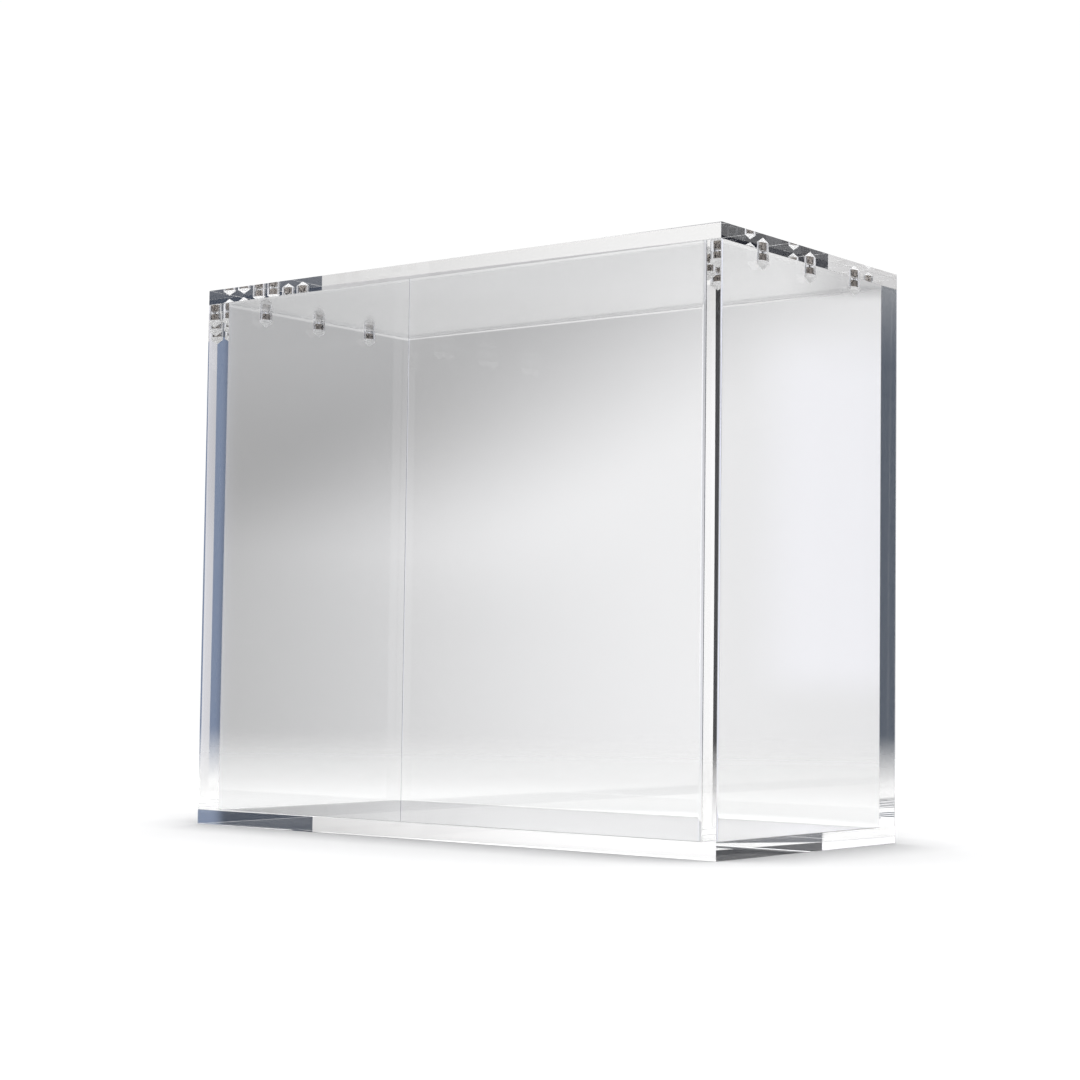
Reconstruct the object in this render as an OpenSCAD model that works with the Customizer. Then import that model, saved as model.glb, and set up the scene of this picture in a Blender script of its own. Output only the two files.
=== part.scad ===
// Clear acrylic display case: a cemented five-sided case with a lift-off lid
// held by six pairs of disc magnets. Millimetres, +Z up, front facing -Y, with
// the origin at the middle of the footprint on the surface the case stands on.

/* [Overall] */
// Outer width of the case, left to right
case_w = 204; // [120:1:400]
// Outer depth of the case, front to back
case_d = 100; // [80:1:300]
// Outer height, from the underside of the base to the top of the lid
case_h = 177; // [60:1:400]

/* [Sheet] */
// Thickness of the base and lid plates
plate_t = 4.75; // [4.75:0.05:8]
// Thickness of the front and back panels
face_t = 4.75; // [3:0.05:8]
// Thickness of the side panels, whose top edges carry the magnets
side_t = 6.85; // [6.5:0.05:12]
// Width of the polished arris along the free outer edges
arris = 0.1; // [0.1:0.05:0.6]
// Air left between the loose lid and the top of the walls
lid_air = 0.05; // [0.02:0.01:0.3]

/* [Magnets] */
// Diameter of a disc magnet
magnet_d = 5; // [3:0.5:5.5]
// Thickness of a disc magnet
magnet_t = 2; // [1:0.25:2.25]
// Width of the bevel round both faces of a magnet
magnet_bevel = 0.2; // [0.1:0.05:0.4]
// From the end of a side panel to the centre of the nearest magnet
magnet_inset = 24; // [12:1:34]

/* [Drilled holes] */
// Clearance between a magnet and the wall of its hole
hole_clear = 0.1; // [0.05:0.05:0.2]
// How far a magnet's face sits below the face of its sheet
magnet_recess = 0.55; // [0.1:0.05:0.7]
// Straight hole left beyond a magnet in the lid
lid_hole_spare = 0.1; // [0.05:0.05:0.2]
// Straight hole left beyond a magnet in a side panel
side_hole_spare = 1; // [0.2:0.1:3]
// Point angle of the drill
drill_point = 118; // [110:1:140]

/* [Hidden] */
$fn = 96;

side_names = ["left", "right"];
row_names = ["front", "middle", "back"];
function side_sign(side) = side == "left" ? -1 : 1;
function magnet_y(row) =
    row == "front" ? -case_d / 2 + magnet_inset :
    row == "back" ? case_d / 2 - magnet_inset : 0;
magnet_x = (case_w - side_t) / 2;
hole_r = magnet_d / 2 + hole_clear;
drill_tip = hole_r / tan(drill_point / 2);

wall_bottom = plate_t;
lid_bottom = case_h - plate_t;
wall_top = lid_bottom - lid_air;
wall_h = wall_top - wall_bottom;
inner_w = case_w - 2 * side_t;
overshoot = 1;

// Rectangle about the origin with its four corners cut by the arris
module cut_rectangle(w, h) {
    polygon([
        [-w / 2 + arris, -h / 2], [w / 2 - arris, -h / 2],
        [w / 2, -h / 2 + arris], [w / 2, h / 2 - arris],
        [w / 2 - arris, h / 2], [-w / 2 + arris, h / 2],
        [-w / 2, h / 2 - arris], [-w / 2, -h / 2 + arris]
    ]);
}

// Plate of the full footprint, standing on z = 0, with an arris on all its edges
module footprint_plate() {
    translate([0, 0, plate_t / 2])
        intersection() {
            linear_extrude(plate_t, center = true)
                cut_rectangle(case_w, case_d);
            rotate([90, 0, 0])
                linear_extrude(case_d, center = true)
                    cut_rectangle(case_w, plate_t);
            rotate([90, 0, 90])
                linear_extrude(case_w, center = true)
                    cut_rectangle(case_d, plate_t);
        }
}

// Blind hole with a drill-point end, going up from a mouth at z = 0
module drilled_hole(straight) {
    rotate_extrude()
        polygon([
            [0, -overshoot], [hole_r, -overshoot],
            [hole_r, straight], [0, straight + drill_tip]
        ]);
}

// Disc magnet with bevelled rims, from z = 0 up
module disc_magnet() {
    r = magnet_d / 2;
    b = magnet_bevel;
    color("silver")
        rotate_extrude()
            polygon([
                [0, 0], [r - b, 0], [r, b],
                [r, magnet_t - b], [r - b, magnet_t], [0, magnet_t]
            ]);
}

module base_plate() {
    color("aliceblue", 0.4)
        footprint_plate();
}

// Front and back panels stand on the base, between the side panels
module face_panel(y_sign) {
    color("lightcyan", 0.4)
        translate([-inner_w / 2, y_sign * (case_d - face_t) / 2 - face_t / 2, wall_bottom])
            cube([inner_w, face_t, wall_h]);
}

// Side panels run the whole depth; their outer upright edges carry the arris
module side_panel(side) {
    s = side_sign(side);
    color("powderblue", 0.4)
        difference() {
            translate([s * case_w / 2, 0, wall_bottom])
                linear_extrude(wall_h)
                    polygon([
                        [-s * side_t, -case_d / 2], [-s * arris, -case_d / 2],
                        [0, -case_d / 2 + arris], [0, case_d / 2 - arris],
                        [-s * arris, case_d / 2], [-s * side_t, case_d / 2]
                    ]);
            for (row = row_names)
                translate([s * magnet_x, magnet_y(row), wall_top])
                    mirror([0, 0, 1])
                        drilled_hole(magnet_recess + magnet_t + side_hole_spare);
        }
}

module lid_plate() {
    color("azure", 0.4)
        difference() {
            translate([0, 0, lid_bottom])
                footprint_plate();
            for (side = side_names, row = row_names)
                translate([side_sign(side) * magnet_x, magnet_y(row), lid_bottom])
                    drilled_hole(magnet_recess + magnet_t + lid_hole_spare);
        }
}

module panel_magnet(side, row) {
    translate([side_sign(side) * magnet_x, magnet_y(row), wall_top - magnet_recess - magnet_t])
        disc_magnet();
}

module lid_magnet(side, row) {
    translate([side_sign(side) * magnet_x, magnet_y(row), lid_bottom + magnet_recess])
        disc_magnet();
}

base_plate();
face_panel(-1);  // front_panel
face_panel(1);  // back_panel
side_panel("left");  // left_panel
side_panel("right");  // right_panel
lid_plate();
for (side = side_names, row = row_names) {
    panel_magnet(side, row);
    lid_magnet(side, row);
}
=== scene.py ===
"""Clear acrylic display case with a magnet-held lid, dressed for rendering.

Every sheet is rebuilt with polished and cemented faces: the base and lid with a fine polished arris
on every edge, the side panels on their outer upright edges, and real drilled holes in the side
panels and lid. Where two sheets are cemented, the touching faces pass light straight through, as a
good solvent joint does.
"""

import math

import bmesh
import bpy
from mathutils import Matrix, Vector


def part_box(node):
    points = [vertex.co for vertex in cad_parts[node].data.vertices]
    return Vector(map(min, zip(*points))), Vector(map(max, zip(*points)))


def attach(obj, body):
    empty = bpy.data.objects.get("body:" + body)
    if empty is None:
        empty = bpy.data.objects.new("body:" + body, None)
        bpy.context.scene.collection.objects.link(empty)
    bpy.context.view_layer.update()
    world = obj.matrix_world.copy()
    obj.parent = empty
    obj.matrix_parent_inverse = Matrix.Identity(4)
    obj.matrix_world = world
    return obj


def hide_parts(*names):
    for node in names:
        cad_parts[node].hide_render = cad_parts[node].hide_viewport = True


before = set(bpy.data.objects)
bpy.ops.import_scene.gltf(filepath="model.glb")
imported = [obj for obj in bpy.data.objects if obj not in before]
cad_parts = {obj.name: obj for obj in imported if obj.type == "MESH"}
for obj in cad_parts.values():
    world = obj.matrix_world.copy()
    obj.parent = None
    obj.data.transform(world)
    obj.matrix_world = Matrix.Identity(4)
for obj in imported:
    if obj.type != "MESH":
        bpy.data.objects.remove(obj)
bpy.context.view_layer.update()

# sizes in metres
MM = 0.001
ARRIS = 0.04 * MM
BEAD = 0.25 * MM
NEAR_BEAD = 1.0 * MM
HOLE_CLEARANCE = 0.1 * MM
LID_HOLE_SPARE = 0.1 * MM
SIDE_HOLE_SPARE = 1.0 * MM
DRILL_LEAD = 1.0 * MM
MAGNET_BEVEL = 0.2 * MM

# angles
DRILL_POINT = math.radians(118)
CREASE = math.radians(30)

# how finely round shapes are cut
ARRIS_STEPS = 2
BEAD_STEPS = 5
MAGNET_BEVEL_STEPS = 3
ROUND_STEPS = 64
PAPER_STEPS = 128

# tolerances
SAME_WAY = 0.999
SAME_POINT = 1e-7
SAME_LEVEL = 1e-6
HOLE_MARGIN = 1.01

# where each finish sits in a sheet's list of materials
POLISHED_SLOT = 0
CEMENTED_SLOT = 1
DRILLED_SLOT = 2
DRILL_POINT_SLOT = 3

# finishes
ACRYLIC_TINT = (0.99, 0.995, 1.0)
ACRYLIC_INDEX = 1.491
DRILLED_ROUGHNESS = 0.06
DRILL_POINT_TONE = (0.98, 0.98, 0.98)
DRILL_POINT_ROUGHNESS = 0.7
# painted glow: the drill point's end shines as if lit, standing in for light that comes down the
# hole
DRILL_POINT_PAINTED_GLOW = (1.0, 0.99, 0.98)
DRILL_POINT_PAINTED_GLOW_STRENGTH = 0.25
# the same nickel twice: the case magnets' copy is painted darker than the lid magnets', as painted
# shade
LID_NICKEL_TONE = (0.42, 0.38, 0.345)
CASE_NICKEL_SHADED_TONE = (0.28, 0.25, 0.225)
MOTTLE_SCALE = 1500.0
MOTTLE_DETAIL = 3.0
MOTTLE_SPREAD = (0.35, 0.65)
MOTTLE_DEPTH = 0.15
DULL_ROUGHNESS = 0.3
BRIGHT_ROUGHNESS = 0.2

SIDES = ("left", "right")
ROWS = ("front", "middle", "back")


# -------------------------------------------------------------- shader tools


def math_node(tree, kind, a, b=None):
    node = tree.nodes.new("ShaderNodeMath")
    node.operation = kind
    for socket, value in zip(node.inputs, (a, b)):
        if value is None:
            continue
        if isinstance(value, (int, float)):
            socket.default_value = value
        else:
            tree.links.new(value, socket)
    return node.outputs[0]


def ramp(tree, value, start, end, kind="SMOOTHSTEP"):
    """0 before start, 1 past end, and soft between unless kind says LINEAR."""
    node = tree.nodes.new("ShaderNodeMapRange")
    node.interpolation_type = kind
    tree.links.new(value, node.inputs["Value"])
    low, high = (0, 1) if start < end else (1, 0)
    node.inputs["From Min"].default_value = min(start, end)
    node.inputs["From Max"].default_value = max(start, end)
    node.inputs["To Min"].default_value = low
    node.inputs["To Max"].default_value = high
    return node.outputs["Result"]


def blend(tree, share, below, above):
    """below where share is 0, above where it is 1. Each is a colour or the output of a node."""
    node = tree.nodes.new("ShaderNodeMix")
    node.data_type = "RGBA"
    node.clamp_result = False
    tree.links.new(share, node.inputs[0])
    for socket, value in ((node.inputs[6], below), (node.inputs[7], above)):
        if isinstance(value, tuple):
            socket.default_value = (*value, 1)
        else:
            tree.links.new(value, socket)
    return node.outputs[2]


def both(tree, a, b):
    """The share where two shares overlap."""
    return math_node(tree, "MULTIPLY", a, b)


def within(tree, value, opening, closing):
    """The share of a band of value, which comes in over opening and goes out over closing."""
    return both(tree, ramp(tree, value, *opening), ramp(tree, value, *closing))


def mixed_surface(tree, out, share, below, above):
    """Links the mix of two shader nodes to the output: below at share 0, above at share 1."""
    mix = tree.nodes.new("ShaderNodeMixShader")
    tree.links.new(share, mix.inputs[0])
    tree.links.new(below.outputs[0], mix.inputs[1])
    tree.links.new(above.outputs[0], mix.inputs[2])
    tree.links.new(mix.outputs[0], out.inputs["Surface"])


# ---------------------------------------------------------------- materials


def new_material(name):
    """A material with an empty node tree and its output."""
    mat = bpy.data.materials.new(name)
    mat.use_nodes = True
    tree = mat.node_tree
    tree.nodes.clear()
    out = tree.nodes.new("ShaderNodeOutputMaterial")
    return mat, tree, out


def clear_acrylic(name, roughness=0.0):
    """Water-clear cast acrylic."""
    mat, tree, out = new_material(name)
    skin = tree.nodes.new("ShaderNodeBsdfPrincipled")
    skin.inputs["Base Color"].default_value = (*ACRYLIC_TINT, 1)
    skin.inputs["Transmission Weight"].default_value = 1.0
    skin.inputs["IOR"].default_value = ACRYLIC_INDEX
    skin.inputs["Roughness"].default_value = roughness
    tree.links.new(skin.outputs[0], out.inputs["Surface"])
    return mat


def cemented_face():
    """A joint face filled with cement, which light crosses unbent."""
    mat, tree, out = new_material("cemented_face")
    through = tree.nodes.new("ShaderNodeBsdfTransparent")
    tree.links.new(through.outputs[0], out.inputs["Surface"])
    return mat


def drilled_acrylic():
    """The wall of a drilled hole, a little less smooth than the polished sheet."""
    return clear_acrylic("drilled_acrylic", DRILLED_ROUGHNESS)


def drill_point_frost_and_painted_glow():
    """The end of a hole behind the magnet, whitened by the drill's point and a drop of glue, with a
    painted glow standing in for the light that comes down the hole.
    """
    mat, tree, out = new_material("drill_point_frost_and_painted_glow")
    skin = tree.nodes.new("ShaderNodeBsdfPrincipled")
    skin.inputs["Base Color"].default_value = (*DRILL_POINT_TONE, 1)
    skin.inputs["Roughness"].default_value = DRILL_POINT_ROUGHNESS
    # painted light: an emission glow, though the drill point is no lamp
    skin.inputs["Emission Color"].default_value = (*DRILL_POINT_PAINTED_GLOW, 1)
    skin.inputs["Emission Strength"].default_value = DRILL_POINT_PAINTED_GLOW_STRENGTH
    tree.links.new(skin.outputs[0], out.inputs["Surface"])
    return mat


def nickel_plate(name, tone):
    """Nickel plating behind a film of glue, which dulls and mottles it."""
    mat, tree, out = new_material(name)
    mottle = tree.nodes.new("ShaderNodeTexNoise")
    place = tree.nodes.new("ShaderNodeTexCoord").outputs["Object"]
    tree.links.new(place, mottle.inputs["Vector"])
    mottle.inputs["Scale"].default_value = MOTTLE_SCALE
    mottle.inputs["Detail"].default_value = MOTTLE_DETAIL
    spots = ramp(tree, mottle.outputs[0], *MOTTLE_SPREAD)
    dull = tuple(c * (1 - MOTTLE_DEPTH) for c in tone)
    bright = tuple(c * (1 + MOTTLE_DEPTH) for c in tone)
    polish = tree.nodes.new("ShaderNodeMapRange")
    tree.links.new(spots, polish.inputs["Value"])
    polish.inputs["To Min"].default_value = DULL_ROUGHNESS
    polish.inputs["To Max"].default_value = BRIGHT_ROUGHNESS
    skin = tree.nodes.new("ShaderNodeBsdfPrincipled")
    tree.links.new(blend(tree, spots, dull, bright), skin.inputs["Base Color"])
    skin.inputs["Metallic"].default_value = 1.0
    tree.links.new(polish.outputs["Result"], skin.inputs["Roughness"])
    tree.links.new(skin.outputs[0], out.inputs["Surface"])
    return mat


ACRYLIC = clear_acrylic("polished_acrylic")
CEMENTED = cemented_face()
DRILLED = drilled_acrylic()
DRILL_POINT_FROST_AND_GLOW = drill_point_frost_and_painted_glow()
LID_NICKEL = nickel_plate("nickel_plate", LID_NICKEL_TONE)
# painted shade: the case magnets get a darker copy of the lid magnets' nickel
CASE_NICKEL_PAINTED_SHADE = nickel_plate("nickel_plate_painted_shade", CASE_NICKEL_SHADED_TONE)


# -------------------------------------------------------------- shape tools


def box_mesh(lo, hi):
    """A bmesh box between two corners."""
    bm = bmesh.new()
    bmesh.ops.create_cube(bm, size=1.0)
    lo, hi = Vector(lo), Vector(hi)
    bmesh.ops.transform(
        bm,
        matrix=Matrix.Translation((lo + hi) / 2) @ Matrix.Diagonal((*(hi - lo), 1)),
        verts=bm.verts,
    )
    return bm


def bevel_edges(bm, edges, offset, segments):
    bmesh.ops.bevel(
        bm,
        geom=edges,
        affect="EDGES",
        offset=offset,
        segments=segments,
        profile=0.5,
        material=-1,
    )


def cut_arrises(bm, test):
    """Cuts the arris along every edge that test picks, given the edge's two ends."""
    edges = [e for e in bm.edges if test(e.verts[0].co, e.verts[1].co)]
    bevel_edges(bm, edges, ARRIS, ARRIS_STEPS)


def split_face(bm, normal, planes):
    """Cuts the flat faces that look along normal by planes, each (point, direction)."""
    normal = Vector(normal)
    for point, direction in planes:
        faces = [f for f in bm.faces if f.normal.dot(normal) > SAME_WAY]
        edges = {e for f in faces for e in f.edges}
        verts = {v for f in faces for v in f.verts}
        bmesh.ops.bisect_plane(
            bm,
            geom=[*faces, *edges, *verts],
            dist=SAME_POINT,
            plane_co=point,
            plane_no=direction,
        )
        bm.normal_update()


def cement(bm, normal, test):
    """Gives the faces that look along normal, and whose centre passes test, the joint material."""
    normal = Vector(normal)
    for face in bm.faces:
        if face.normal.dot(normal) > SAME_WAY and test(face.calc_center_median()):
            face.material_index = CEMENTED_SLOT


def mesh_object(name, bm, materials):
    bm.normal_update()
    mesh = bpy.data.meshes.new(name)
    bm.to_mesh(mesh)
    bm.free()
    for mat in materials:
        mesh.materials.append(mat)
    piece = bpy.data.objects.new(name, mesh)
    bpy.context.scene.collection.objects.link(piece)
    return piece


def smooth_where(piece, test):
    """Smooth shading on the faces that pass test, with creases kept sharp."""
    mesh = piece.data
    mesh.set_sharp_from_angle(angle=CREASE)
    for face in mesh.polygons:
        face.use_smooth = test(face)


def place(piece, node, body, slot):
    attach(piece, body)
    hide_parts(node)


# -------------------------------------------------------- measures of parts

base_lo, base_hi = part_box("base_plate")
lid_lo, lid_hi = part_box("lid_plate")
left_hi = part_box("left_panel")[1]
front_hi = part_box("front_panel")[1]
magnet_lo, magnet_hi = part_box("panel_magnet_left_front")

HALF_W = base_hi.x
HALF_D = base_hi.y
INNER_X = front_hi.x
INNER_Y = -front_hi.y
WALL_TOP = left_hi.z
MAGNET_R = (magnet_hi.x - magnet_lo.x) / 2
MAGNET_T = magnet_hi.z - magnet_lo.z
MAGNET_RECESS = WALL_TOP - magnet_hi.z
MAGNET_END = MAGNET_RECESS + MAGNET_T
HOLE_R = MAGNET_R + HOLE_CLEARANCE
LID_HOLE = MAGNET_END + LID_HOLE_SPARE
SIDE_HOLE = MAGNET_END + SIDE_HOLE_SPARE
HOLE_DEEPEST = SIDE_HOLE + HOLE_R
BEAD_X = INNER_X - BEAD
BEAD_Y = INNER_Y - BEAD
BEAD_TOP = base_hi.z + BEAD


# ------------------------------------------------------------ drilled holes


def drill_mesh(mouth, straight, upward):
    """A drill with its point, entering at mouth and reaching straight deep, along +Z or -Z."""
    bm = bmesh.new()
    tip = HOLE_R / math.tan(DRILL_POINT / 2)
    profile = [
        (0, -DRILL_LEAD),
        (HOLE_R, -DRILL_LEAD),
        (HOLE_R, MAGNET_END),
        (HOLE_R, straight),
        (0, straight + tip),
    ]
    verts = [bm.verts.new((r, 0, z)) for r, z in profile]
    edges = [bm.edges.new(pair) for pair in zip(verts, verts[1:])]
    bmesh.ops.spin(
        bm,
        geom=[*verts, *edges],
        cent=(0, 0, 0),
        axis=(0, 0, 1),
        angle=math.tau,
        steps=ROUND_STEPS,
        use_merge=True,
    )
    bmesh.ops.remove_doubles(bm, verts=bm.verts, dist=SAME_POINT)
    if not upward:
        bmesh.ops.transform(bm, matrix=Matrix.Diagonal((1, 1, -1, 1)), verts=bm.verts)
    bmesh.ops.recalc_face_normals(bm, faces=bm.faces)
    bmesh.ops.translate(bm, vec=mouth, verts=bm.verts)
    return bm


def magnet_centres(kind, sides):
    """The places in plan of one kind of magnet."""
    centres = []
    for side in sides:
        for row in ROWS:
            lo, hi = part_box(f"{kind}_{side}_{row}")
            centres.append(((lo + hi) / 2).xy)
    return centres


def drill(piece, centres, level, straight, upward):
    """Cuts a hole at each centre, starting from the face at height level."""
    for centre in centres:
        cutter = mesh_object("drill", drill_mesh((*centre, level), straight, upward), [])
        cut = piece.modifiers.new("hole", "BOOLEAN")
        cut.operation = "DIFFERENCE"
        cut.solver = "EXACT"
        cut.object = cutter
    graph = bpy.context.evaluated_depsgraph_get()
    mesh = bpy.data.meshes.new_from_object(piece.evaluated_get(graph))
    cutters = [m.object for m in piece.modifiers]
    piece.modifiers.clear()
    piece.data = mesh
    for cutter in cutters:
        bpy.data.objects.remove(cutter)


def in_hole(face, centres, level):
    """True for a face of a hole's wall or of its drill point."""
    away = abs(face.center.z - level)
    if away < SAME_LEVEL or away > HOLE_DEEPEST:
        return False
    reach = HOLE_R * HOLE_MARGIN
    return any((face.center.xy - centre).length < reach for centre in centres)


def finish_holes(piece, centres, level):
    """Smooth-shaded walls and white ends in the magnet holes, which open at height level."""
    smooth_where(piece, lambda f: in_hole(f, centres, level))
    for face in piece.data.polygons:
        if in_hole(face, centres, level):
            beside = abs(face.center.z - level) < MAGNET_END
            face.material_index = DRILLED_SLOT if beside else DRILL_POINT_SLOT


# ------------------------------------------------------------------- pieces


def upright_bead(x_sign, y_sign):
    """The size of the cement bead in one upright corner: the right front one got more cement."""
    return NEAR_BEAD if (x_sign, y_sign) == (1, -1) else BEAD


def make_base():
    bm = box_mesh(base_lo, base_hi)
    cut_arrises(bm, lambda a, b: True)
    split_face(
        bm,
        (0, 0, 1),
        [((s * BEAD_X, 0, 0), (1, 0, 0)) for s in (-1, 1)]
        + [((0, s * BEAD_Y, 0), (0, 1, 0)) for s in (-1, 1)],
    )
    cement(bm, (0, 0, 1), lambda c: abs(c.x) > BEAD_X or abs(c.y) > BEAD_Y)
    piece = mesh_object("polished_base", bm, [ACRYLIC, CEMENTED])
    smooth_where(piece, lambda f: False)
    place(piece, "base_plate", "case", "case_acrylic")


def make_face(name, node):
    """Front or back panel: cemented at both ends and underneath."""
    lo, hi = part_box(node)
    outside = -1 if lo.y < 0 else 1
    bm = box_mesh(lo, hi)
    split_face(bm, (0, 0, -1), [((0, outside * (HALF_D - ARRIS), 0), (0, 1, 0))])
    cement(bm, (0, 0, -1), lambda c: abs(c.y) < HALF_D - ARRIS)
    for s in (-1, 1):
        cement(bm, (s, 0, 0), lambda c: True)
    ends = [s * (INNER_X - upright_bead(s, outside)) for s in (-1, 1)]
    split_face(
        bm,
        (0, -outside, 0),
        [((x, 0, 0), (1, 0, 0)) for x in ends] + [((0, 0, BEAD_TOP), (0, 0, 1))],
    )
    cement(bm, (0, -outside, 0), lambda c: not ends[0] < c.x < ends[1] or c.z < BEAD_TOP)
    piece = mesh_object(name, bm, [ACRYLIC, CEMENTED])
    smooth_where(piece, lambda f: False)
    place(piece, node, "case", "case_acrylic")


def is_outer_upright(a, b):
    """True for an edge that stands upright on the outer face of a side panel."""
    outer = all(abs(abs(end.x) - HALF_W) < ARRIS for end in (a, b))
    return outer and abs(a.x - b.x) < ARRIS and abs(a.y - b.y) < ARRIS


def cement_side_joints(bm, s):
    """The joint faces of a side panel: its inner face's ends and foot, and its underside."""
    ends = [t * (INNER_Y - upright_bead(s, t)) for t in (-1, 1)]
    split_face(
        bm,
        (-s, 0, 0),
        [((0, y, 0), (0, 1, 0)) for y in (-INNER_Y, *ends, INNER_Y)]
        + [((0, 0, BEAD_TOP), (0, 0, 1))],
    )
    cement(bm, (-s, 0, 0), lambda c: not ends[0] < c.y < ends[1] or c.z < BEAD_TOP)
    split_face(
        bm,
        (0, 0, -1),
        [((s * (HALF_W - ARRIS), 0, 0), (1, 0, 0))]
        + [((0, t * (HALF_D - ARRIS), 0), (0, 1, 0)) for t in (-1, 1)],
    )
    cement(
        bm,
        (0, 0, -1),
        lambda c: abs(c.x) < HALF_W - ARRIS and abs(c.y) < HALF_D - ARRIS,
    )


def make_side(side):
    node = f"{side}_panel"
    bm = box_mesh(*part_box(node))
    cut_arrises(bm, is_outer_upright)
    cement_side_joints(bm, -1 if side == "left" else 1)
    piece = mesh_object(f"polished_{side}", bm, [ACRYLIC, CEMENTED, DRILLED, DRILL_POINT_FROST_AND_GLOW])
    centres = magnet_centres("panel_magnet", (side,))
    drill(piece, centres, WALL_TOP, SIDE_HOLE, False)
    finish_holes(piece, centres, WALL_TOP)
    place(piece, node, "case", "case_acrylic")


def make_lid():
    bm = box_mesh(lid_lo, lid_hi)
    cut_arrises(bm, lambda a, b: True)
    piece = mesh_object("polished_lid", bm, [ACRYLIC, CEMENTED, DRILLED, DRILL_POINT_FROST_AND_GLOW])
    centres = magnet_centres("lid_magnet", SIDES)
    drill(piece, centres, lid_lo.z, LID_HOLE, True)
    finish_holes(piece, centres, lid_lo.z)
    place(piece, "lid_plate", "lid", "lid_acrylic")


def bead_outline(size):
    """The hollow fillet's section, as (out from one sheet, out from the other), corner first."""
    points = [(0, 0)]
    for step in range(BEAD_STEPS + 1):
        turn = math.pi / 2 * step / BEAD_STEPS
        points.append((size * (1 - math.cos(turn)), size * (1 - math.sin(turn))))
    return points


def finish_bead(name, bm, joints):
    bmesh.ops.recalc_face_normals(bm, faces=bm.faces)
    bm.normal_update()
    for normal in joints:
        cement(bm, normal, lambda c: True)
    piece = mesh_object(name, bm, [ACRYLIC, CEMENTED])
    smooth_where(piece, lambda f: f.material_index == POLISHED_SLOT)
    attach(piece, "case")


def make_upright_bead(x_sign, y_sign):
    """The thin fillet of cement left standing in one inside corner of the walls."""
    bm = bmesh.new()
    outline = bead_outline(upright_bead(x_sign, y_sign))
    foot = bm.faces.new(
        bm.verts.new((x_sign * (INNER_X - u), y_sign * (INNER_Y - v), BEAD_TOP))
        for u, v in outline
    )
    grown = bmesh.ops.extrude_face_region(bm, geom=[foot])["geom"]
    top = [part for part in grown if isinstance(part, bmesh.types.BMVert)]
    bmesh.ops.translate(bm, vec=(0, 0, WALL_TOP - BEAD_TOP), verts=top)
    side = "left" if x_sign < 0 else "right"
    row = "front" if y_sign < 0 else "back"
    finish_bead(f"cement_bead_{side}_{row}", bm, [(x_sign, 0, 0), (0, y_sign, 0)])


def make_base_bead():
    """The same fillet along the foot of all four walls, mitred at the corners."""
    bm = bmesh.new()
    mitres = []
    for x_sign, y_sign in ((-1, -1), (1, -1), (1, 1), (-1, 1)):
        ring = [
            bm.verts.new((x_sign * (INNER_X - u), y_sign * (INNER_Y - u), base_hi.z + v))
            for u, v in bead_outline(BEAD)
        ]
        mitres.append([bm.edges.new(pair) for pair in zip(ring, [*ring[1:], ring[0]])])
    for mitre, following in zip(mitres, [*mitres[1:], mitres[0]]):
        bmesh.ops.bridge_loops(bm, edges=[*mitre, *following])
    joints = [(1, 0, 0), (-1, 0, 0), (0, 1, 0), (0, -1, 0), (0, 0, -1)]
    finish_bead("cement_bead_base", bm, joints)


def make_magnet(node, body, finish):
    lo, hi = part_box(node)
    bm = bmesh.new()
    bmesh.ops.create_cone(
        bm,
        cap_ends=True,
        segments=ROUND_STEPS,
        radius1=MAGNET_R,
        radius2=MAGNET_R,
        depth=MAGNET_T,
    )
    bmesh.ops.translate(bm, vec=(lo + hi) / 2, verts=bm.verts)
    rims = [e for e in bm.edges if abs(e.verts[0].co.z - e.verts[1].co.z) < SAME_POINT]
    bevel_edges(bm, rims, MAGNET_BEVEL, MAGNET_BEVEL_STEPS)
    piece = mesh_object(f"nickel_{node}", bm, [finish])
    smooth_where(piece, lambda f: True)
    place(piece, node, body, "magnet_nickel")


make_base()
make_face("polished_front", "front_panel")
make_face("polished_back", "back_panel")
for side in SIDES:
    make_side(side)
make_lid()
for x_sign in (-1, 1):
    for y_sign in (-1, 1):
        make_upright_bead(x_sign, y_sign)
make_base_bead()
for side in SIDES:
    for row in ROWS:
        make_magnet(f"panel_magnet_{side}_{row}", "case", CASE_NICKEL_PAINTED_SHADE)
        make_magnet(f"lid_magnet_{side}_{row}", "lid", LID_NICKEL)


# -------------------------------------------------------------------- paper

# metres on the paper, from its middle
FLOOR_GAP = 0.05 * MM
PAPER_EDGE = 1.3
PAPER_FADE = 0.2
UNDER_REACH = (0.11, 0.15)
FAR_REACH = (0.15, 0.4)
CONTACT_REACH = 28 * MM

PAPER_FALL = 1.8
CONTACT_SAMPLES = 8
PAPER_SEEN = (0.82, 0.82, 0.82)
# painted light under the case, and painted shade that deepens further out
PAPER_UNDER_PAINTED_LIGHT = (1.04, 1.035, 1.02)
PAPER_NEAR_PAINTED_SHADE = (0.75, 0.746, 0.735)
PAPER_FAR_PAINTED_SHADE = (0.65, 0.646, 0.637)
# painted shadow: the paper's tone close to the case
CONTACT_PAINTED_SHADOW = (0.3, 0.3, 0.31)

# the strip of painted shade beside the left wall, in metres: out from the wall, and in front of a
# slant line
PAPER_SHADED = (0.1, 0.105, 0.12)
STRIP_START = (0.0005, 0.002)
STRIP_END = (0.055, 0.035)
STRIP_SLOPE = 1.73
STRIP_LINE = (-0.048, -0.054)
GRAZING = (0.86, 0.9)


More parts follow.
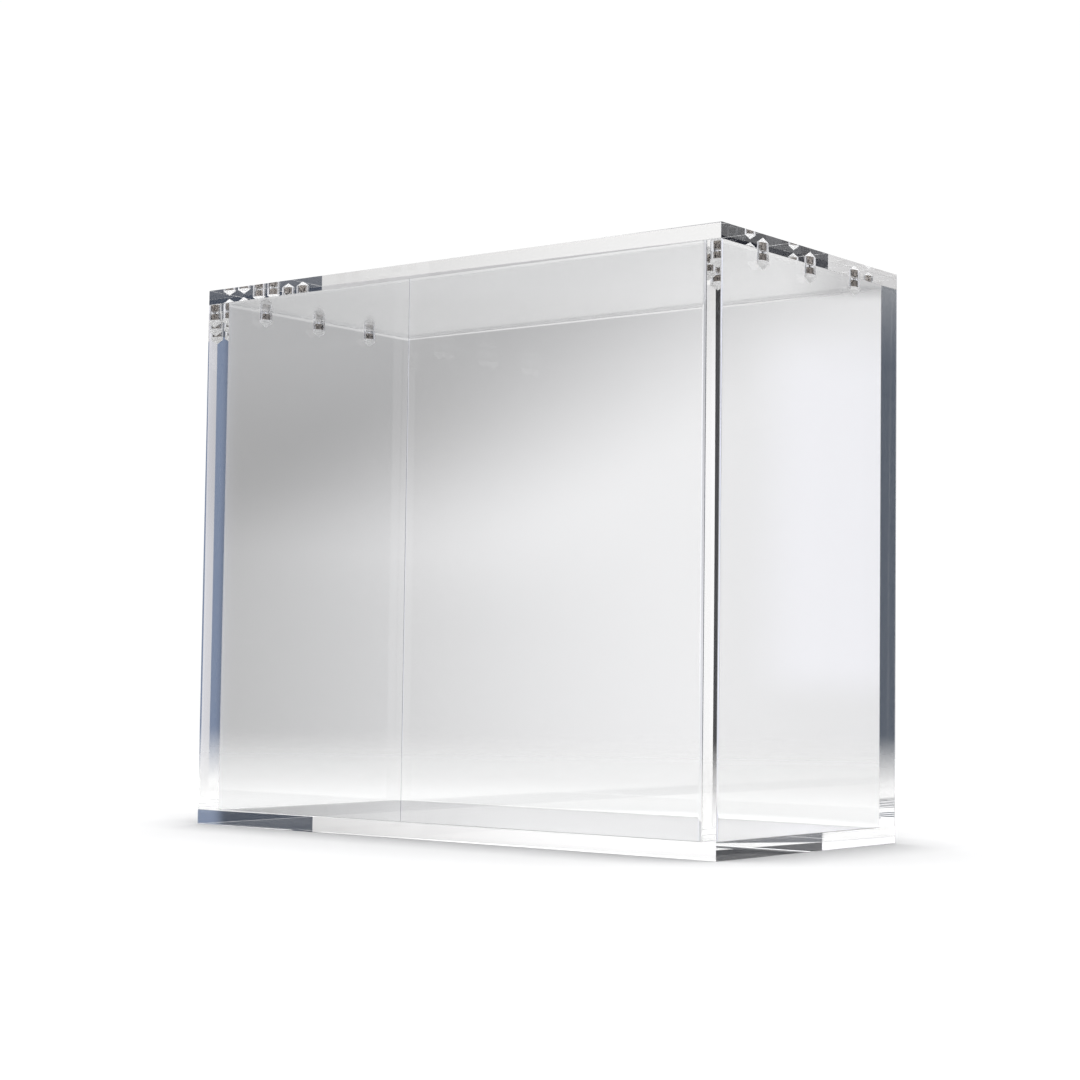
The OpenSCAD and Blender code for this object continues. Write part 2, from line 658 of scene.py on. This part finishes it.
def shaded_strip(tree, place):
    """The share of the left paper painted dark with the front card's shade and reflection, for
    light at a low angle.
    """
    split = tree.nodes.new("ShaderNodeSeparateXYZ")
    tree.links.new(place, split.inputs[0])
    left = math_node(tree, "MULTIPLY", split.outputs["X"], -1.0)
    beside = math_node(tree, "SUBTRACT", left, HALF_W)
    slant = math_node(tree, "MULTIPLY", beside, STRIP_SLOPE)
    beyond = math_node(tree, "SUBTRACT", split.outputs["Y"], slant)
    strip = within(tree, beside, STRIP_START, STRIP_END)
    strip = both(tree, strip, ramp(tree, beyond, *STRIP_LINE))
    facing = tree.nodes.new("ShaderNodeLayerWeight").outputs["Facing"]
    return both(tree, strip, ramp(tree, facing, *GRAZING))


def paper_through_acrylic(tree, place, away):
    """The paper's tone as the case bends and mirrors it, with painted light that makes it lightest
    under the case and painted shade that darkens it further off.
    """
    tone = blend(tree, ramp(tree, away, *FAR_REACH), PAPER_NEAR_PAINTED_SHADE, PAPER_FAR_PAINTED_SHADE)
    tone = blend(tree, ramp(tree, away, *UNDER_REACH), PAPER_UNDER_PAINTED_LIGHT, tone)
    return blend(tree, shaded_strip(tree, place), tone, PAPER_SHADED)


def paper_in_view(tree):
    """The paper's tone in plain view: a painted contact shadow darkens it close to the case."""
    # painted shadow: ambient occlusion darkens the paper's colour near the case
    nook = tree.nodes.new("ShaderNodeAmbientOcclusion")
    nook.inputs["Distance"].default_value = CONTACT_REACH
    nook.samples = CONTACT_SAMPLES
    shade = math_node(tree, "SUBTRACT", 1.0, nook.outputs["AO"])
    return blend(tree, shade, PAPER_SEEN, CONTACT_PAINTED_SHADOW)


def white_paper():
    """Matt white paper that fades out towards its edge."""
    mat, tree, out = new_material("white_paper")
    place = tree.nodes.new("ShaderNodeTexCoord").outputs["Object"]
    reach = tree.nodes.new("ShaderNodeVectorMath")
    reach.operation = "LENGTH"
    tree.links.new(place, reach.inputs[0])
    away = reach.outputs["Value"]

    seen = tree.nodes.new("ShaderNodeLightPath").outputs["Is Camera Ray"]
    # camera rays get the even white with its painted contact shadow; other rays get the painted
    # light and shade through the case
    tone = blend(tree, seen, paper_through_acrylic(tree, place, away), paper_in_view(tree))
    skin = tree.nodes.new("ShaderNodeBsdfDiffuse")
    tree.links.new(tone, skin.inputs["Color"])
    bare = tree.nodes.new("ShaderNodeBsdfTransparent")
    solid = ramp(tree, away, PAPER_EDGE, PAPER_FADE, "LINEAR")
    solid = math_node(tree, "POWER", solid, PAPER_FALL)
    mixed_surface(tree, out, solid, bare, skin)
    return mat


def make_floor():
    """A round sheet of paper a hair under the case."""
    bm = bmesh.new()
    bmesh.ops.create_circle(bm, cap_ends=True, segments=PAPER_STEPS, radius=PAPER_EDGE)
    bmesh.ops.translate(bm, vec=(0, 0, -FLOOR_GAP), verts=bm.verts)
    floor = mesh_object("floor", bm, [white_paper()])


# ------------------------------------------------------------------- studio

# Every pair below is in degrees: where a tone comes in or goes out, and where it has done so.
# Bearings are 0 behind the case, 90 to its left and -90 to its right. Heights are above level.

# the sweep behind
SWEEP_LIGHT = (1.03, 1.02, 1.02)
SWEEP_LOW_SHADE = (0.56, 0.555, 0.55)
SWEEP_SHADE = (0.48, 0.473, 0.47)
SWEEP_TOP_SHADE = (0.55, 0.545, 0.545)
LID_LEVEL_SHADE = (0.6, 0.595, 0.6)
LOW_SWEEP_BEARING = (33, 50)
HIGH_SWEEP_BEARING = (38, 49)
HIGH_SWEEP_HEIGHT = (1.0, 5.0)
TOP_SHADE_HEIGHT = (5.5, 8.8)
LID_LEVEL_HEIGHT = (9.4, 9.9)
SLANT_START = 3.0
SLANT_SLOPE = 1.5

SWEEP_GLOW = (1.12, 1.11, 1.14)
GLOW_BEARING = (33, 31)
GLOW_BOTTOM = (-0.8, 0.5)
GLOW_TOP = (9.5, 7.5)
FOOT_LIGHT = (1.0, 0.99, 0.98)
FOOT_SHADE = (0.66, 0.655, 0.65)
FOOT_BEARING = (33, 49)
FOOT_HEIGHT = (-0.6, -4.0)
GREY_FLOOR = (0.7, 0.69, 0.69)
GREY_BEARING = (32, 30)
GREY_BELOW = (-6, -8)
GREY_ABOVE = (9.55, 9.9)
FAR_LIGHT = (1.05, 1.06, 1.2)
FAR_BEARING = (45.6, 48)

# the walls
SIDE_LIGHT = (0.84, 0.84, 0.87)
SIDE_SHADE = (0.5, 0.5, 0.51)
WALL_HEIGHT = (-3, 12)
MIDDLE_BEARING = (27, 18)
LEFT_WALL_START = (52, 64)
LEFT_WALL_END = (118, 112)
RIGHT_WALL_START = (-62, -70)
RIGHT_WALL_END = (-118, -112)
BEHIND_START = (-20, -2)
BEHIND_END = (104, 90)

# the dark cards
DARK_CARD = (0.048, 0.048, 0.05)
NAVY_CARD = (0.04, 0.052, 0.078)
BLUE_CARD = (0.2, 0.25, 0.36)
RIGHT_CARD_START = (-12, -20)
RIGHT_CARD_END = (-66, -56)
NAVY_BEARING = (-36, -40)
BLUE_START = (-45.8, -46.2)
BLUE_END = (-49, -48)
BLUE_BOTTOM = (-3.4, -3.0)
BLUE_TOP = (9.4, 8.4)
LEFT_CARD = (0.056, 0.074, 0.104)
BLACK_CARD = (0.01, 0.012, 0.02)
LEFT_CARD_START = (118, 126)
LEFT_CARD_END = (172, 164)
LEFT_CARD_BEARING = (149.2, 150.3)
CARD_BOTTOM = (-14, -12.5)
CARD_TOP = (15, 12.8)

# above and below
HIGH_WALL = (0.62, 0.62, 0.63)
HIGH_WALL_HEIGHT = (13, 22)
OVERHEAD = (2.8, 2.8, 2.8)
OVERHEAD_HEIGHT = (30, 76)
NEAR_FLOOR = (1.0, 1.0, 1.0)
NEAR_FLOOR_HEIGHT = (-14, -18)
DIM_FLOOR = (0.42, 0.425, 0.43)
DIM_FLOOR_HEIGHT = (-20, -28)
BACKDROP = (1.02, 1.02, 1.02)


def look_angles(tree):
    """The bearing and the height of a direction, in degrees."""
    direction = tree.nodes.new("ShaderNodeTexCoord").outputs["Generated"]
    split = tree.nodes.new("ShaderNodeSeparateXYZ")
    tree.links.new(direction, split.inputs[0])
    x, y, z = split.outputs
    left = math_node(tree, "MULTIPLY", x, -1.0)
    bearing = math_node(tree, "DEGREES", math_node(tree, "ARCTAN2", left, y))
    height = math_node(tree, "DEGREES", math_node(tree, "ARCSINE", z))
    return bearing, height


def slanting_shade(tree, bearing, height):
    """The sweep's slow turn from light on the right to shade on the left, sooner further up."""
    climb = math_node(tree, "SUBTRACT", height, SLANT_START)
    climb = math_node(tree, "MAXIMUM", climb, 0.0)
    slant = math_node(tree, "ADD", bearing, math_node(tree, "MULTIPLY", climb, SLANT_SLOPE))
    low = blend(tree, ramp(tree, bearing, *LOW_SWEEP_BEARING), SWEEP_LIGHT, SWEEP_LOW_SHADE)
    shade = blend(tree, ramp(tree, height, *TOP_SHADE_HEIGHT), SWEEP_SHADE, SWEEP_TOP_SHADE)
    shade = blend(tree, ramp(tree, height, *LID_LEVEL_HEIGHT), shade, LID_LEVEL_SHADE)
    high = blend(tree, ramp(tree, slant, *HIGH_SWEEP_BEARING), SWEEP_LIGHT, shade)
    return blend(tree, ramp(tree, height, *HIGH_SWEEP_HEIGHT), low, high)


def sweep_tone(tree, bearing, height):
    """The sweep with its glow, its light foot, and its grey and bright ends."""
    tone = slanting_shade(tree, bearing, height)
    glow = within(tree, height, GLOW_BOTTOM, GLOW_TOP)
    tone = blend(tree, both(tree, ramp(tree, bearing, *GLOW_BEARING), glow), tone, SWEEP_GLOW)
    foot = blend(tree, ramp(tree, bearing, *FOOT_BEARING), FOOT_LIGHT, FOOT_SHADE)
    tone = blend(tree, ramp(tree, height, *FOOT_HEIGHT), tone, foot)
    below = ramp(tree, height, *GREY_BELOW)
    above = ramp(tree, height, *GREY_ABOVE)
    grey = math_node(tree, "ADD", below, above)
    tone = blend(tree, both(tree, ramp(tree, bearing, *GREY_BEARING), grey), tone, GREY_FLOOR)
    return blend(tree, ramp(tree, bearing, *FAR_BEARING), tone, FAR_LIGHT)


def surround_tone(tree, bearing, height):
    """The sweep behind and the walls on all sides, which shade off upwards."""
    wall = blend(tree, ramp(tree, height, *WALL_HEIGHT), SIDE_LIGHT, SIDE_SHADE)
    back = sweep_tone(tree, bearing, height)
    back = blend(tree, ramp(tree, bearing, *LEFT_WALL_START), back, wall)
    back = blend(tree, ramp(tree, bearing, *MIDDLE_BEARING), back, wall)
    left_wall = within(tree, bearing, LEFT_WALL_START, LEFT_WALL_END)
    right_wall = within(tree, bearing, RIGHT_WALL_START, RIGHT_WALL_END)
    sides = math_node(tree, "ADD", left_wall, right_wall)
    around = blend(tree, sides, SIDE_LIGHT, wall)
    return blend(tree, within(tree, bearing, BEHIND_START, BEHIND_END), around, back)


def right_card_tone(tree, bearing, height):
    """The dark card at the back right: navy, then blue, towards its far end."""
    far_end = within(tree, bearing, BLUE_START, BLUE_END)
    level = within(tree, height, BLUE_BOTTOM, BLUE_TOP)
    tone = blend(tree, ramp(tree, bearing, *NAVY_BEARING), DARK_CARD, NAVY_CARD)
    return blend(tree, both(tree, far_end, level), tone, BLUE_CARD)


def with_cards(tree, around, bearing, height):
    """Stands the dark cards in the surround, at the back right and the front left."""
    band = within(tree, height, CARD_BOTTOM, CARD_TOP)
    right_card = within(tree, bearing, RIGHT_CARD_START, RIGHT_CARD_END)
    right_tone = right_card_tone(tree, bearing, height)
    around = blend(tree, both(tree, right_card, band), around, right_tone)
    left_card = within(tree, bearing, LEFT_CARD_START, LEFT_CARD_END)
    left_tone = blend(tree, ramp(tree, bearing, *LEFT_CARD_BEARING), BLACK_CARD, LEFT_CARD)
    return blend(tree, both(tree, left_card, band), around, left_tone)


def studio_light(tree):
    """The light from every direction: the surround, the ceiling's soft light and the floor."""
    bearing, height = look_angles(tree)
    light = with_cards(tree, surround_tone(tree, bearing, height), bearing, height)
    light = blend(tree, ramp(tree, height, *HIGH_WALL_HEIGHT), light, HIGH_WALL)
    light = blend(tree, ramp(tree, height, *OVERHEAD_HEIGHT), light, OVERHEAD)
    light = blend(tree, ramp(tree, height, *NEAR_FLOOR_HEIGHT), light, NEAR_FLOOR)
    return blend(tree, ramp(tree, height, *DIM_FLOOR_HEIGHT), light, DIM_FLOOR)


def make_studio():
    """The studio lights the case, and plain white stands behind it in the picture."""
    world = bpy.data.worlds.new("studio")
    bpy.context.scene.world = world
    world.use_nodes = True
    tree = world.node_tree
    tree.nodes.clear()
    out = tree.nodes.new("ShaderNodeOutputWorld")
    studio = tree.nodes.new("ShaderNodeBackground")
    tree.links.new(studio_light(tree), studio.inputs["Color"])
    white = tree.nodes.new("ShaderNodeBackground")
    white.inputs["Color"].default_value = (*BACKDROP, 1)
    seen = tree.nodes.new("ShaderNodeLightPath").outputs["Is Camera Ray"]
    mixed_surface(tree, out, seen, studio, white)


# ------------------------------------------------------------------- camera

SENSOR_MM = 36.0
PICTURE_PIXELS = 1080
FOCAL_PIXELS = 2235
CAMERA_PLACE = (0.4417, -0.5653, 0.05004)
CAMERA_TURN = math.radians(37.97)
CAMERA_TILT = math.radians(3.48)
CAMERA_ROLL = math.radians(0.76)

LIGHT_BOUNCES = 48


def make_camera():
    """Long lens, low and to the right of the front, turned a little up and very slightly tilted."""
    data = bpy.data.cameras.new("camera")
    data.sensor_fit = "HORIZONTAL"
    data.sensor_width = SENSOR_MM
    data.lens = SENSOR_MM * FOCAL_PIXELS / PICTURE_PIXELS
    cam = bpy.data.objects.new("camera", data)
    cam.matrix_world = (
        Matrix.Translation(CAMERA_PLACE)
        @ Matrix.Rotation(CAMERA_TURN, 4, "Z")
        @ Matrix.Rotation(math.pi / 2 + CAMERA_TILT, 4, "X")
        @ Matrix.Rotation(CAMERA_ROLL, 4, "Z")
    )
    bpy.context.scene.collection.objects.link(cam)
    bpy.context.scene.camera = cam


def set_light_paths():
    """Plain colours, and enough bounces for light that runs round inside the sheets."""
    scene = bpy.context.scene
    scene.view_settings.view_transform = "Standard"
    scene.cycles.max_bounces = LIGHT_BOUNCES
    scene.cycles.transmission_bounces = LIGHT_BOUNCES
    scene.cycles.glossy_bounces = LIGHT_BOUNCES
    scene.cycles.transparent_max_bounces = LIGHT_BOUNCES


make_floor()
make_studio()
make_camera()
set_light_paths()
